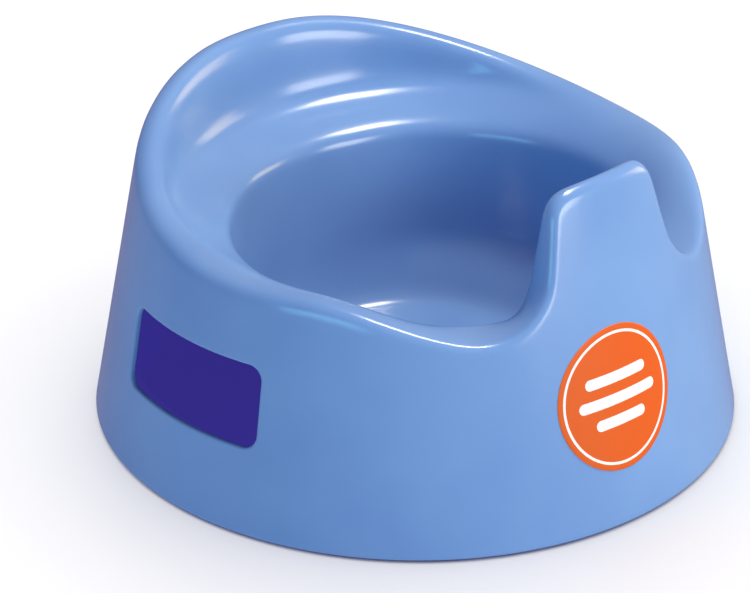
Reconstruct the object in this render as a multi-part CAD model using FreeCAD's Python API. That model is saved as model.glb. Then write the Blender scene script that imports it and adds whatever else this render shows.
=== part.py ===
"""One-piece toddler potty: moulded shell, round front label and four push-in feet.

Millimetres, +Z up.  The origin is the middle of the base, on the floor.  The splash guard
is at the front, -Y, and the backrest at the back, +Y.  Angles are measured in plan from the
front, and the shell is the same on its left and right.
"""
import FreeCAD
import Part
import os
from math import asin, atan2, cos, degrees, hypot, pi, radians, sin, sqrt, tan

Vector = FreeCAD.Vector

# ---- skirt: a cone whose slope differs at the front, side and back
BASE_RADIUS = 150.0
WALL = 2.7
FOOT_DROP = 1.5                 # how far the feet lift the skirt's edge off the floor
SLOPE_FRONT = 0.250
SLOPE_SIDE = 0.170
SLOPE_BACK = 0.217

# ---- heights of the rim's outer corner
BACK_HEIGHT = 150.0
SIDE_HEIGHT = 109.8
DIP_HEIGHT = 91.0
GUARD_HEIGHT = 147.8
BACK_STARTS, BACK_ENDS = 79.0, 172.0        # plan angles of the backrest's rise
DIP_STARTS, DIP_ENDS = 28.0, 66.0           # plan angles of the leg dips' rise
RIM_EDGE_ROUND = 1.0
ROUND_DIP, ROUND_SIDE = 5.5, 9.5            # how far below its top the rim starts to round
ROUND_BACK, ROUND_GUARD = 9.0, 6.5
TOP_SINK_SIDE, TOP_SINK_BACK = 0.4, 1.2     # the rim's top lies this far below its corner

# ---- splash guard, as seen from the front
GUARD_TOP_HALF = 30.2
GUARD_FOOT_HALF = 44.5
GUARD_CROWN = 1.5
GUARD_TOP_ROUND = 13.0
GUARD_FOOT_ROUND = 28.0
GUARD_EDGE_ROUND = 2.6
GUARD_INSIDE_ROUND = 8.0
GUARD_TURNS, GUARD_TURNED = 3.0, 24.0       # heights above the dips where rim turns into guard
GUARD_REACH, JOIN_REACH = 4.0, 5.0          # plan angles past the dips' start

# ---- bowl
BOWL_HALF_WIDTH = 97.5
BOWL_HALF_LENGTH = 91.0
BOWL_FORWARD = 15.5             # the bowl's mouth sits this far in front of the base's centre
EDGE_HEIGHT_BACK = 99.5
EDGE_HEIGHT_DIP = 89.3
EDGE_STARTS, EDGE_ENDS = 15.0, 140.0        # plan angles of the edge's rise
EDGE_ROUND = 8.5
EDGE_STEP = 0.5                 # from the edge back to the wall under it
BOWL_TAPER = 0.115
TAPER_STARTS = 92.0
WALL_FOOT = 38.0
FLOOR_HEIGHT = 12.0
FLOOR_RADIUS = 54.0
FLOOR_FORWARD = 5.0
VALLEY_RISE = 10.0              # from the bowl's edge up to the foot of the backrest
SEAT_FALL = 5.0                 # from there back down along the seat
SEAT_STARTS, SEAT_ENDS = 80.0, 125.0        # plan angles where the rim widens into the seat

# ---- hand windows
WINDOW_LOW, WINDOW_HIGH = 40.0, 77.0
WINDOW_FRONT, WINDOW_BACK = 42.5, 41.5
WINDOW_ROUND = 6.5
WINDOW_LEAN = 0.04              # the sides lean in with the skirt

# ---- label
LABEL_RADIUS = 32.0
LABEL_THICK = 0.25
LABEL_GLUE = 0.01               # the film of glue that holds it
LABEL_ANGLE = -5.0
LABEL_HEIGHT = 56.0

# ---- feet and their bosses
FOOT_ANGLES = {"front_left": -45.0, "front_right": 45.0, "back_left": -135.0, "back_right": 135.0}
BOSS_RADIUS = 7.0
BOSS_HEIGHT = 11.0
BOSS_SKIN = 1.2                 # skirt wall left outside the top of a boss
FOOT_STEM_RADIUS = 3.0
FOOT_STEM_LENGTH = 7.0
FOOT_HEAD_RADIUS = 6.5
FOOT_HEAD_ROUND = 0.5
FOOT_CLEARANCE = 0.05
HOLE_EXTRA_DEPTH = 1.0

# ---- spacing of the surface's control columns along the rim
STEP_FINE, STEP_COARSE = 4.5, 13.0
STEP_GROWS, STEP_GROWN = 92.0, 222.0
COLUMN_SPREAD = 0.20            # how much the columns even out towards the base
BASE_PULL, TOP_PULL = 10.0, 40.0            # how far the columns run straight up and down


def ease(value, low, high):
    """0 below low, 1 above high, and a smooth step between."""
    t = min(max((value - low) / (high - low), 0.0), 1.0)
    return t * t * (3.0 - 2.0 * t)


def mix(first, second, share):
    return first + (second - first) * share


# ---------------------------------------------------------------- outer form

def slope_at(angle):
    """The skirt's lean, in millimetres per millimetre of height."""
    front_share = (1.0 + cos(angle)) / 2.0
    front_back = mix(SLOPE_BACK, SLOPE_FRONT, front_share)
    return mix(front_back, SLOPE_SIDE, sin(angle) ** 2)


def skirt_radius(angle, height):
    return BASE_RADIUS - slope_at(angle) * height


def polar(radius, angle, height):
    return Vector(radius * sin(angle), -radius * cos(angle), height)


def skirt_point(angle, height):
    return polar(skirt_radius(angle, height), angle, height)


def rim_height(angle):
    """Height of the rim's corner outside the guard; angle from 0 to pi."""
    turn = degrees(angle)
    rise = mix(SIDE_HEIGHT, BACK_HEIGHT, ease(turn, BACK_STARTS, BACK_ENDS))
    return rise - (SIDE_HEIGHT - DIP_HEIGHT) * (1.0 - ease(turn, DIP_STARTS, DIP_ENDS))


def fillet_points(start, corner, end, radius, count=14):
    """Points of the arc that rounds a corner of a flat outline."""
    ax, ay = start[0] - corner[0], start[1] - corner[1]
    bx, by = end[0] - corner[0], end[1] - corner[1]
    a_length, b_length = hypot(ax, ay), hypot(bx, by)
    ax, ay, bx, by = ax / a_length, ay / a_length, bx / b_length, by / b_length
    turn = pi - abs(atan2(ax * by - ay * bx, ax * bx + ay * by))
    reach = radius * tan(turn / 2.0)
    mid_x, mid_y = ax + bx, ay + by
    away = radius / cos(turn / 2.0) / hypot(mid_x, mid_y)
    centre_x, centre_y = corner[0] + mid_x * away, corner[1] + mid_y * away
    first = atan2(corner[1] + ay * reach - centre_y, corner[0] + ax * reach - centre_x)
    last = atan2(corner[1] + by * reach - centre_y, corner[0] + bx * reach - centre_x)
    sweep = (last - first + pi) % (2.0 * pi) - pi
    steps = [first + sweep * i / count for i in range(count + 1)]
    return [(centre_x + radius * cos(s), centre_y + radius * sin(s)) for s in steps]


def angle_on_skirt(x, height):
    """Plan angle of the skirt's point at this x and height, by a short iteration."""
    angle = asin(x / skirt_radius(0.0, height))
    for _ in range(6):
        angle = asin(x / skirt_radius(angle, height))
    return angle


def rim_outline(arc_count=200):
    """(angle, height) along the rim's outer corner, from the front centre to the back."""
    join = radians(DIP_STARTS + JOIN_REACH)
    join_x = skirt_radius(join, rim_height(join)) * sin(join)
    flat = 0.6                                  # share of the top before its rounded corner
    top = [(GUARD_TOP_HALF * flat * i / 12.0, GUARD_HEIGHT - GUARD_CROWN * (flat * i / 12.0) ** 2)
           for i in range(13)]
    corner = (GUARD_TOP_HALF, GUARD_HEIGHT - GUARD_CROWN)
    foot = (GUARD_FOOT_HALF, rim_height(radians(DIP_STARTS)))
    outline = top + fillet_points(top[-1], corner, foot, GUARD_TOP_ROUND)
    outline += fillet_points(corner, foot, (join_x, rim_height(join)), GUARD_FOOT_ROUND)
    points = [(angle_on_skirt(x, height), height) for x, height in outline]
    rest = [join + (pi - join) * i / arc_count for i in range(arc_count + 1)]
    return points + [(angle, rim_height(angle)) for angle in rest]


def stations():
    """Columns of half the shell: angle, height, outward normal in the skirt, base angle."""
    outline = rim_outline()
    reached = [0.0]
    for here, there in zip(outline, outline[1:]):
        reached.append(reached[-1] + (skirt_point(*there) - skirt_point(*here)).Length)
    total = reached[-1]

    def at(distance):
        distance = min(abs(distance), total - 1e-9)
        after = next(i for i, value in enumerate(reached) if value > distance)
        share = (distance - reached[after - 1]) / (reached[after] - reached[after - 1])
        return [mix(outline[after - 1][k], outline[after][k], share) for k in (0, 1)]

    places = [0.0]
    while places[-1] < total:
        growth = ease(places[-1], STEP_GROWS, STEP_GROWN)
        places.append(places[-1] + mix(STEP_FINE, STEP_COARSE, growth))
    stretch = total / places[-1]
    probe = 1.5
    columns = []
    for place in [value * stretch for value in places]:
        angle, height = at(place)
        along, up = 1.0, 0.0
        if probe < place < total - probe:
            before, after = at(place - probe), at(place + probe)
            along = skirt_radius(angle, height) * (after[0] - before[0])
            up = after[1] - before[1]
        size = hypot(along, up)
        base_angle = mix(angle, pi * place / total, COLUMN_SPREAD)
        columns.append((angle, height, -up / size, along / size, base_angle))
    return columns


# ---------------------------------------------------------------- bowl form

def edge_radius(angle):
    """Plan radius of the bowl's edge, an ellipse set forward of the base's centre."""
    across, ahead = sin(angle) / BOWL_HALF_WIDTH, cos(angle) / BOWL_HALF_LENGTH
    shift = BOWL_FORWARD / BOWL_HALF_LENGTH
    square = across * across + ahead * ahead
    linear = ahead * shift
    return (linear + sqrt(linear * linear + square * (1.0 - shift * shift))) / square


def edge_height(angle):
    return mix(EDGE_HEIGHT_DIP, EDGE_HEIGHT_BACK, ease(degrees(angle), EDGE_STARTS, EDGE_ENDS))


def dip_left(angle):
    """0 in the leg dips and 1 once past them."""
    return ease(degrees(angle), DIP_STARTS, DIP_ENDS)


def guard_share(angle, height):
    """1 on the splash guard and 0 on the open rim."""
    if degrees(angle) > DIP_STARTS + GUARD_REACH:
        return 0.0
    return ease(height, DIP_HEIGHT + GUARD_TURNS, DIP_HEIGHT + GUARD_TURNED)


# ---------------------------------------------------------------- rows of one column

SKIRT_SHARES = (0.0, 0.06, 0.20, 0.36, 0.52, 0.68, 0.82, 0.93, 1.0)
BAND_GUARD = (0.20, 0.40, 0.60, 0.80)       # places of the rows across the rim's top
BAND_DIP = (0.14, 0.40, 0.62, 0.82)
BAND_SIDE = (0.24, 0.45, 0.64, 0.82)
BAND_BACK = (0.25, 0.295, 0.34, 0.66)
DROP_SIDE = (0.0, 0.10, 0.30, 0.60)         # how the top falls from the rim to the bowl's edge
CROWN_GUARD = (0.8, 0.0, 0.0, 0.8)
WALL_SHARES = (0.0, 0.28, 0.55, 0.80, 1.0)
# Each row of the bowl's foot: how much wider, higher and further forward than the floor
FLOOR_ROWS = ((20.0, 13.0, 3.0), (12.5, 1.2, 0.5), (0.0, 0.0, 0.0), (-16.0, 0.0, 0.0), (-32.0, 0.0, 0.0))


def skirt_rows(angle, height, normal_along, normal_up, base_angle, guard, back):
    """Poles from the base up to the start of the rim's rounding, on a Bezier in the skirt."""
    open_reach = mix(ROUND_DIP, ROUND_SIDE, dip_left(angle))
    reach = mix(mix(open_reach, ROUND_BACK, back), ROUND_GUARD, guard)
    radius = skirt_radius(angle, height)
    top = (angle - normal_along * reach / radius, height - normal_up * reach)
    above_base = (base_angle, FOOT_DROP + BASE_PULL)
    below_top = (top[0], top[1] - TOP_PULL)
    ends = ((base_angle, FOOT_DROP), above_base, below_top, top)
    rows = []
    for share in SKIRT_SHARES:
        rest = 1.0 - share
        weights = (rest ** 3, 3 * rest * rest * share, 3 * rest * share * share, share ** 3)
        place = [sum(w * end[k] for w, end in zip(weights, ends)) for k in (0, 1)]
        rows.append(skirt_point(*place))
    return rows


def band_rows(angle, height, normal_along, normal_up, guard, back):
    """Poles across the rim's top, from its outer corner to the bowl's edge."""
    radius = skirt_radius(angle, height)
    crown = mix(RIM_EDGE_ROUND, GUARD_EDGE_ROUND, guard)
    rows = [skirt_point(angle - normal_along * crown / radius, height - normal_up * crown)]
    open_edge = edge_height(angle)
    valley = open_edge + VALLEY_RISE
    for k in range(4):
        open_share = mix(BAND_DIP[k], BAND_SIDE[k], dip_left(angle))
        share = mix(mix(open_share, BAND_BACK[k], back), BAND_GUARD[k], guard)
        side_z = mix(height - TOP_SINK_SIDE, open_edge, DROP_SIDE[k])
        back_z = (height - TOP_SINK_BACK, (height + valley) / 2.0 - 1.0, valley, valley - SEAT_FALL)[k]
        open_z = mix(side_z, back_z, back)
        lift = mix(open_z, height - normal_up * CROWN_GUARD[k], guard)
        turn = angle - normal_along * mix(0.0, CROWN_GUARD[k], guard) / radius
        rows.append(polar(mix(skirt_radius(turn, height), edge_radius(turn), share), turn, lift))
    return rows


def bowl_rows(angle, height, normal_along, normal_up, base_angle, guard):
    """Poles of the bowl's edge, wall, fillet and floor."""
    crown = mix(0.0, GUARD_EDGE_ROUND, guard)
    turn = angle - normal_along * crown / skirt_radius(angle, height)
    edge_z = mix(edge_height(angle), height - normal_up * crown, guard)
    rows = [polar(edge_radius(turn), turn, edge_z)]
    floor_turn = mix(base_angle, turn, 0.5)
    wall_top = edge_z - mix(EDGE_ROUND, GUARD_INSIDE_ROUND, guard)
    for share in WALL_SHARES:
        z = mix(wall_top, WALL_FOOT, share)
        here = mix(turn, floor_turn, share)
        rows.append(polar(edge_radius(here) - EDGE_STEP - BOWL_TAPER * max(0.0, TAPER_STARTS - z), here, z))
    for wider, higher, further in FLOOR_ROWS:
        row = polar(FLOOR_RADIUS + wider, floor_turn, FLOOR_HEIGHT + higher)
        rows.append(row - Vector(0.0, FLOOR_FORWARD + further, 0.0))
    return rows


def column(angle, height, normal_along, normal_up, base_angle):
    guard = guard_share(angle, height)
    back = ease(degrees(angle), SEAT_STARTS, SEAT_ENDS)
    rim = (angle, height, normal_along, normal_up)
    return (skirt_rows(*rim, base_angle, guard, back) + band_rows(*rim, guard, back)
            + bowl_rows(*rim, base_angle, guard))


def top_net():
    """Rows of poles of the whole top skin, each going round from the front through +X."""
    half = [column(*station) for station in stations()]
    mirrored = [[Vector(-p.x, p.y, p.z) for p in poles] for poles in reversed(half[1:-1])]
    return settle([list(row) for row in zip(*(half + mirrored))])


def settle(rows, rounds=4):
    """Move the skirt's poles until the smooth surface itself, not its net, is the cone."""
    count = len(rows[0])
    last = len(SKIRT_SHARES) - 1

    def smoothed(row, i):
        return (row[i - 1] + row[i] * 4.0 + row[(i + 1) % count]) / 6.0

    for _ in range(rounds):
        moved = [list(row) for row in rows]
        for v in range(last + 1):
            for i in range(count):
                spot = smoothed(rows[v], i)
                if 0 < v < last:
                    spot = (smoothed(rows[v - 1], i) + spot * 4.0 + smoothed(rows[v + 1], i)) / 6.0
                miss = skirt_radius(abs(atan2(spot.x, -spot.y)), spot.z) - hypot(spot.x, spot.y)
                pole = rows[v][i]
                scale = 1.0 + miss / hypot(pole.x, pole.y)
                moved[v][i] = Vector(pole.x * scale, pole.y * scale, pole.z)
        rows = moved
    return rows


def under_net(rows):
    """The same net, one wall's thickness inside the material."""
    count = len(rows[0])
    last = len(rows) - 1
    under = []
    for v, row in enumerate(rows):
        below, above = rows[max(v - 1, 0)], rows[min(v + 1, last)]
        new = []
        for i in range(count):
            around = row[(i + 1) % count] - row[i - 1]
            first = (row[i] - below[i]) if v > 0 else (above[i] - row[i])
            second = (above[i] - row[i]) if v < last else first
            normal = around.cross(first.normalize() + second.normalize()).normalize()
            half_turn = sqrt(max((1.0 + first.dot(second)) / 2.0, 0.45))
            new.append(row[i] - normal * (WALL / half_turn))
        under.append(new)
    under[0] = [polar(hypot(p.x, p.y) - WALL, atan2(p.x, -p.y), FOOT_DROP) for p in rows[0]]
    under[last] = [Vector(p.x, p.y, FLOOR_HEIGHT - WALL) for p in under[last]]
    return thin_guard(rows, under)


def thin_guard(rows, under):
    """Spread the guard's inner rows evenly, so the narrow hollow never folds over itself."""
    outer = len(SKIRT_SHARES)
    for i in range(len(rows[0])):
        height = rows[outer][i].z
        guard = guard_share(abs(atan2(rows[outer][i].x, -rows[outer][i].y)), height)
        for k, share in enumerate(BAND_GUARD):
            even = under[outer][i] * (1.0 - share) + under[outer + 5][i] * share
            row = under[outer + 1 + k]
            row[i] = row[i] * (1.0 - guard) + even * guard
    return under


# ---------------------------------------------------------------- solids

def skin_face(rows):
    """A smooth closed band through the net: periodic around, clamped at both ends."""
    around, along = len(rows[0]), len(rows)
    surface = Part.BSplineSurface()
    poles = [[rows[v][u] for v in range(along)] for u in range(around)]
    inner_knots = along - 4
    surface.buildFromPolesMultsKnots(
        poles, [1] * (around + 1), [4] + [1] * inner_knots + [4],
        list(range(around + 1)), list(range(inner_knots + 2)), True, False, 3, 3)
    return surface.toShape()


def end_wire(face, height):
    """The closed edge of a skin that lies at this height."""
    for edge in face.Edges:
        box = edge.BoundBox
        if edge.isClosed() and abs(box.ZMin - height) < 1e-4 and abs(box.ZMax - height) < 1e-4:
            return Part.Wire([edge])
    raise ValueError("no end edge at %.2f" % height)


def moulding():
    """The closed shell before its windows and bosses."""
    top_rows = top_net()
    top, under = skin_face(top_rows), skin_face(under_net(top_rows))
    rim_outside, rim_inside = end_wire(top, FOOT_DROP), end_wire(under, FOOT_DROP)
    base = Part.Face(rim_outside).cut(Part.Face(rim_inside)).Faces[0]
    floor_top = Part.Face(end_wire(top, FLOOR_HEIGHT))
    floor_under = Part.Face(end_wire(under, FLOOR_HEIGHT - WALL))
    shell = Part.Shell([top, under, base, floor_top, floor_under])
    shell.sewShape()
    solid = Part.Solid(shell)
    if solid.Volume < 0:
        solid.reverse()
    return solid


def rounded_prism(corners, radius, x_from, x_to):
    """A prism along X over a rounded four-sided outline in Y and Z."""
    count = len(corners)
    edges = []
    arcs = []
    for i, corner in enumerate(corners):
        arc = fillet_points(corners[i - 1], corner, corners[(i + 1) % count], radius, 2)
        arcs.append([Vector(x_from, y, z) for y, z in arc])
    for i, arc in enumerate(arcs):
        edges.append(Part.Arc(*arc).toShape())
        edges.append(Part.LineSegment(arc[2], arcs[(i + 1) % count][0]).toShape())
    face = Part.Face(Part.Wire(edges))
    return face.extrude(Vector(x_to - x_from, 0.0, 0.0))


def window_cutter(side):
    """The hole that a hand goes through; side is -1 for the left and 1 for the right."""
    lean = WINDOW_LEAN * (WINDOW_HIGH - WINDOW_LOW)
    corners = [(-WINDOW_FRONT, WINDOW_LOW), (WINDOW_BACK, WINDOW_LOW),
               (WINDOW_BACK - lean, WINDOW_HIGH), (-WINDOW_FRONT + lean, WINDOW_HIGH)]
    inside = skirt_radius(pi / 2.0, WINDOW_HIGH) - 25.0
    return rounded_prism(corners, WINDOW_ROUND, side * inside, side * (BASE_RADIUS + 10.0))


def foot_place(angle):
    """Centre of a foot and its boss, on the floor."""
    outside = skirt_radius(angle, FOOT_DROP + BOSS_HEIGHT)
    return polar(outside - BOSS_SKIN - BOSS_RADIUS, angle, 0.0)


def boss(angle):
    place = foot_place(angle) + Vector(0, 0, FOOT_DROP)
    return Part.makeCylinder(BOSS_RADIUS, BOSS_HEIGHT, place)


def boss_hole(angle):
    depth = FOOT_STEM_LENGTH + HOLE_EXTRA_DEPTH
    place = foot_place(angle) + Vector(0, 0, FOOT_DROP)
    return Part.makeCylinder(FOOT_STEM_RADIUS + FOOT_CLEARANCE, depth, place)


def foot(angle):
    """A soft button with a stem that pushes up into its boss."""
    place = foot_place(angle)
    head = Part.makeCylinder(FOOT_HEAD_RADIUS, FOOT_DROP, place)
    lower_edge = [edge for edge in head.Edges if edge.BoundBox.ZMax < FOOT_DROP / 2.0]
    head = head.makeFillet(FOOT_HEAD_ROUND, lower_edge)
    stem = Part.makeCylinder(FOOT_STEM_RADIUS, FOOT_STEM_LENGTH, place + Vector(0, 0, FOOT_DROP))
    return head.fuse(stem).removeSplitter().Solids[0]


def potty_shell():
    solid = moulding()
    for side in (-1, 1):
        solid = solid.cut(window_cutter(side))
    for turn in FOOT_ANGLES.values():
        angle = radians(turn)
        solid = solid.fuse(boss(angle)).cut(boss_hole(angle))
    return solid.Solids[0]


def skirt_hull(offset):
    """A filled skirt, grown or shrunk by an offset, up to a little above the label."""
    low, high = LABEL_HEIGHT - LABEL_RADIUS - 6.0, LABEL_HEIGHT + LABEL_RADIUS + 6.0
    count = 72
    wires = []
    for z in (low, high):
        curve = Part.BSplineCurve()
        turns = [2.0 * pi * i / count for i in range(count)]
        ring = [polar(skirt_radius(min(t, 2.0 * pi - t), z) + offset, t, z) for t in turns]
        curve.interpolate(Points=ring, PeriodicFlag=True)
        wires.append(Part.Wire([curve.toShape()]))
    return Part.makeLoft(wires, True, True)


def front_label():
    """A thin round sticker that wraps the skirt."""
    turn = radians(LABEL_ANGLE)
    outward = polar(1.0, turn, slope_at(abs(turn))).normalize()
    centre = polar(skirt_radius(abs(turn), LABEL_HEIGHT), turn, LABEL_HEIGHT)
    reach = 15.0
    disc = Part.makeCylinder(LABEL_RADIUS, 2.0 * reach, centre - outward * reach, outward)
    sheet = disc.common(skirt_hull(LABEL_GLUE + LABEL_THICK)).cut(skirt_hull(LABEL_GLUE))
    return sheet.Solids[0]


def main():
    os.makedirs("parts", exist_ok=True)
    nodes = {"potty_shell": potty_shell(), "front_label": front_label()}
    for place, turn in FOOT_ANGLES.items():
        nodes["foot_" + place] = foot(radians(turn))
    for name, shape in nodes.items():
        box = shape.BoundBox
        print("%-18s %s valid=%s solids=%d volume=%.0f z %.2f..%.2f" % (
            name, shape.ShapeType, shape.isValid(), len(shape.Solids), shape.Volume, box.ZMin, box.ZMax))
        shape.exportStep("parts/" + name + ".step")


main()
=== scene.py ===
"""Looks of the one-piece toddler potty: moulded shell, front sticker and soft feet.

Shapes are worked out in millimetres, about the middle of the base on the floor, and made
into meshes in metres.  The front is -Y.  Plan angles start at the front and run towards +X.
"""

from math import asin, atan2, cos, degrees, hypot, pi, radians, sin, sqrt, tan

import bpy
import numpy as np
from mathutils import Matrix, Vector


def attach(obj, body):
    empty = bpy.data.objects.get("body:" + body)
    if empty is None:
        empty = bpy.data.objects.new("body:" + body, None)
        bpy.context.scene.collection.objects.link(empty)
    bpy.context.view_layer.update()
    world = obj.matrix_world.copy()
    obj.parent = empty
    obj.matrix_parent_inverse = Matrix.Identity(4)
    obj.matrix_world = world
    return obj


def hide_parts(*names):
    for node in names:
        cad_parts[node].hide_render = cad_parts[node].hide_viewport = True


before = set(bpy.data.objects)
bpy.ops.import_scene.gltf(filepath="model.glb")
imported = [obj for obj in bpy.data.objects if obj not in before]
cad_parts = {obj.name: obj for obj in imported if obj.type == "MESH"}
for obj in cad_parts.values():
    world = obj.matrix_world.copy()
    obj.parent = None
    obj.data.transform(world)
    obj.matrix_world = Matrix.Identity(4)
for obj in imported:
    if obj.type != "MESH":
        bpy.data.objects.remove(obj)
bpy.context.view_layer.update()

MM = 0.001

# ---- skirt
BASE_RADIUS = 150.0
WALL = 2.7
FOOT_DROP = 1.5
SLOPE_FRONT, SLOPE_SIDE, SLOPE_BACK = 0.250, 0.170, 0.217
LIP_ROUND = 0.7                 # rounding of the skirt's bottom edge

# ---- rim
BACK_HEIGHT, SIDE_HEIGHT, DIP_HEIGHT, GUARD_HEIGHT = 150.0, 109.8, 91.0, 147.8
BACK_STARTS, BACK_ENDS = 79.0, 172.0
DIP_STARTS, DIP_ENDS = 28.0, 66.0
RIM_EDGE_ROUND = 1.0
ROUND_DIP, ROUND_SIDE, ROUND_BACK, ROUND_GUARD = 5.5, 9.5, 9.0, 6.5
TOP_SINK_SIDE, TOP_SINK_BACK = 0.4, 1.2

# ---- splash guard
GUARD_TOP_HALF, GUARD_FOOT_HALF = 30.2, 44.5
GUARD_CROWN = 1.5
GUARD_TOP_ROUND, GUARD_FOOT_ROUND = 13.0, 28.0
GUARD_EDGE_ROUND, GUARD_INSIDE_ROUND = 2.6, 8.0
GUARD_TURNS, GUARD_TURNED = 3.0, 24.0
GUARD_REACH, JOIN_REACH = 4.0, 5.0

# ---- bowl
BOWL_HALF_WIDTH, BOWL_HALF_LENGTH, BOWL_FORWARD = 97.5, 91.0, 15.5
EDGE_HEIGHT_BACK, EDGE_HEIGHT_DIP = 99.5, 89.3
EDGE_ROUND, EDGE_STEP = 8.5, 0.5
EDGE_STARTS, EDGE_ENDS = 15.0, 140.0
BOWL_TAPER, TAPER_STARTS, WALL_FOOT = 0.115, 92.0, 38.0
FLOOR_HEIGHT, FLOOR_RADIUS, FLOOR_FORWARD = 12.0, 54.0, 5.0
VALLEY_RISE, SEAT_FALL = 10.0, 5.0
SEAT_STARTS, SEAT_ENDS = 80.0, 125.0

# ---- hand windows
WINDOW_LOW, WINDOW_HIGH = 40.0, 77.0
WINDOW_FRONT, WINDOW_BACK = 42.5, 41.5
WINDOW_ROUND, WINDOW_LEAN = 6.5, 0.04
WINDOW_OUTER_EDGE, WINDOW_INNER_EDGE = 1.1, 0.6
WINDOW_MARGIN = 4.0             # plain skirt kept round the window in the patch that holds it
WINDOW_SPACING = 0.3            # between the points of its outline

# ---- sticker
LABEL_RADIUS, LABEL_THICK, LABEL_GLUE = 32.0, 0.25, 0.01
LABEL_ANGLE, LABEL_HEIGHT = -5.0, 56.0
LABEL_EDGE_ROUND = 0.1

# ---- feet
FOOT_ANGLES = {"front_left": -45.0, "front_right": 45.0, "back_left": -135.0, "back_right": 135.0}
BOSS_RADIUS, BOSS_HEIGHT, BOSS_SKIN = 7.0, 11.0, 1.2
FOOT_STEM_RADIUS, FOOT_STEM_LENGTH, FOOT_HEAD_RADIUS = 3.0, 7.0, 6.5
FOOT_CLEARANCE, HOLE_EXTRA_DEPTH = 0.05, 1.0
HOLE_CHAMFER, BOSS_CHAMFER = 0.3, 0.4
FOOT_GROOVE_DEPTH = 0.35        # of the groove between the grip rings

# ---- the dish of painted shade on the floor of the hollow: (inset from the base's edge, height)
DISH_LOW = 0.4
DISH_RIM = ((16.0, 34.0), (20.0, 10.0), (23.0, DISH_LOW), (80.0, DISH_LOW))

# ---- the surface's control columns and how finely it is drawn
STEP_FINE, STEP_COARSE = 4.5, 13.0
STEP_GROWS, STEP_GROWN = 92.0, 222.0
COLUMN_SPREAD = 0.20
BASE_PULL, TOP_PULL = 10.0, 40.0
SHARPEST_BEND = 0.45            # squared cosine of half a bend; keeps the inner net from running away
AROUND_PER_COLUMN, ALONG_PER_ROW = 4, 4
LABEL_SIDES, LABEL_RINGS = 160, 18
FOOT_SIDES, DISH_SIDES = 48, 96


# ================================================================ small sums

def ease(value, low, high):
    """0 below low, 1 above high, and a smooth step between."""
    t = min(max((value - low) / (high - low), 0.0), 1.0)
    return t * t * (3.0 - 2.0 * t)


def mix(first, second, share):
    return first + (second - first) * share


def unit(vectors):
    return vectors / np.linalg.norm(vectors, axis=-1, keepdims=True)


# ================================================================ form of the shell

def slope_at(angle):
    """The skirt's lean, in millimetres per millimetre of height."""
    front_back = mix(SLOPE_BACK, SLOPE_FRONT, (1.0 + cos(angle)) / 2.0)
    return mix(front_back, SLOPE_SIDE, sin(angle) ** 2)


def skirt_radius(angle, height):
    return BASE_RADIUS - slope_at(angle) * height


def polar(radius, angle, height):
    return np.array((radius * sin(angle), -radius * cos(angle), height))


def skirt_point(angle, height, depth=0.0):
    """A point of the skirt's outside, or this deep in its wall."""
    slope = slope_at(angle)
    size = sqrt(1.0 + slope * slope)
    return polar(skirt_radius(angle, height) - depth / size, angle, height - depth * slope / size)


def rim_height(angle):
    """Height of the rim's corner outside the guard; angle from 0 to pi."""
    turn = degrees(angle)
    rise = mix(SIDE_HEIGHT, BACK_HEIGHT, ease(turn, BACK_STARTS, BACK_ENDS))
    return rise - (SIDE_HEIGHT - DIP_HEIGHT) * (1.0 - ease(turn, DIP_STARTS, DIP_ENDS))


def fillet_points(start, corner, end, radius, count=14):
    """Points of the arc that rounds a corner of a flat outline."""
    ax, ay = start[0] - corner[0], start[1] - corner[1]
    bx, by = end[0] - corner[0], end[1] - corner[1]
    a_length, b_length = hypot(ax, ay), hypot(bx, by)
    ax, ay, bx, by = ax / a_length, ay / a_length, bx / b_length, by / b_length
    turn = pi - abs(atan2(ax * by - ay * bx, ax * bx + ay * by))
    reach = radius * tan(turn / 2.0)
    mid_x, mid_y = ax + bx, ay + by
    away = radius / cos(turn / 2.0) / hypot(mid_x, mid_y)
    centre_x, centre_y = corner[0] + mid_x * away, corner[1] + mid_y * away
    first = atan2(corner[1] + ay * reach - centre_y, corner[0] + ax * reach - centre_x)
    last = atan2(corner[1] + by * reach - centre_y, corner[0] + bx * reach - centre_x)
    sweep = (last - first + pi) % (2.0 * pi) - pi
    steps = [first + sweep * i / count for i in range(count + 1)]
    return [(centre_x + radius * cos(s), centre_y + radius * sin(s)) for s in steps]


def angle_on_skirt(x, height):
    """Plan angle of the skirt's point at this x and height, by a short iteration."""
    angle = asin(x / skirt_radius(0.0, height))
    for _ in range(6):
        angle = asin(x / skirt_radius(angle, height))
    return angle


def rim_outline(arc_count=200):
    """(angle, height) along the rim's outer corner, from the front centre to the back."""
    join = radians(DIP_STARTS + JOIN_REACH)
    join_x = skirt_radius(join, rim_height(join)) * sin(join)
    flat = 0.6
    top = [(GUARD_TOP_HALF * flat * i / 12.0, GUARD_HEIGHT - GUARD_CROWN * (flat * i / 12.0) ** 2)
           for i in range(13)]
    corner = (GUARD_TOP_HALF, GUARD_HEIGHT - GUARD_CROWN)
    foot = (GUARD_FOOT_HALF, rim_height(radians(DIP_STARTS)))
    outline = top + fillet_points(top[-1], corner, foot, GUARD_TOP_ROUND)
    outline += fillet_points(corner, foot, (join_x, rim_height(join)), GUARD_FOOT_ROUND)
    points = [(angle_on_skirt(x, height), height) for x, height in outline]
    rest = [join + (pi - join) * i / arc_count for i in range(arc_count + 1)]
    return points + [(angle, rim_height(angle)) for angle in rest]


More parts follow.
